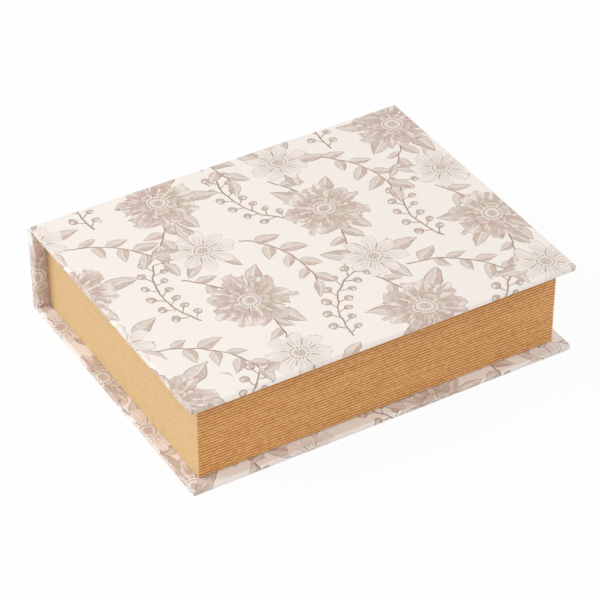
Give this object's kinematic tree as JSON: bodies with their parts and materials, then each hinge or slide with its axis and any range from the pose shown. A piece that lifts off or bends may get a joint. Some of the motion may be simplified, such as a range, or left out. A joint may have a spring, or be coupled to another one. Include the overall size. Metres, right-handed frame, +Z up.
{
  "type": "book-shaped keepsake box",
  "caption": "Book-shaped keepsake box with a floral paper case, a hinged lid and a tray wrapped in gold ribbed paper that looks like page edges.",
  "frame": {"origin": "centre of the closed box's footprint, on the surface that it rests on", "axes": "+X along the spine towards the head, -Y towards the fore edge, +Z up"},
  "size_m": [0.24, 0.189, 0.0585],
  "materials": {
    "greyboard": "matte",
    "printed_paper": "matte",
    "gold_paper": "satin",
    "lining_paper": "matte",
    "plated_magnet": "satin",
    "steel": "satin"
  },
  "bodies": {
    "box": {"base_board": "greyboard", "base_cover_sheet": "printed_paper", "base_hinge_sheet": "printed_paper", "spine_outer_board": "greyboard", "spine_inner_board": "greyboard", "spine_cover_sheet": "printed_paper", "lid_hinge_sheet": "printed_paper", "inner_hinge_strip": "lining_paper", "tray_floor": "greyboard", "tray_front_wall": "greyboard", "tray_back_wall": "greyboard", "tray_head_wall": "greyboard", "tray_tail_wall": "greyboard", "page_edge_paper": "gold_paper", "floor_lining": "lining_paper", "wall_lining": "lining_paper", "closure_magnets": "plated_magnet"},
    "lid": {"lid_board": "greyboard", "lid_cover_sheet": "printed_paper", "lid_lining": "lining_paper", "closure_keepers": "steel"}
  },
  "joints": [
    {"name": "lid_hinge", "type": "hinge", "parent": "box", "child": "lid", "pos_m": [0, 0.09325, 0.05725], "axis": [-1, 0, 0], "range_deg": [0, 197], "deforming": ["lid_hinge_sheet", "inner_hinge_strip"]}
  ]
}
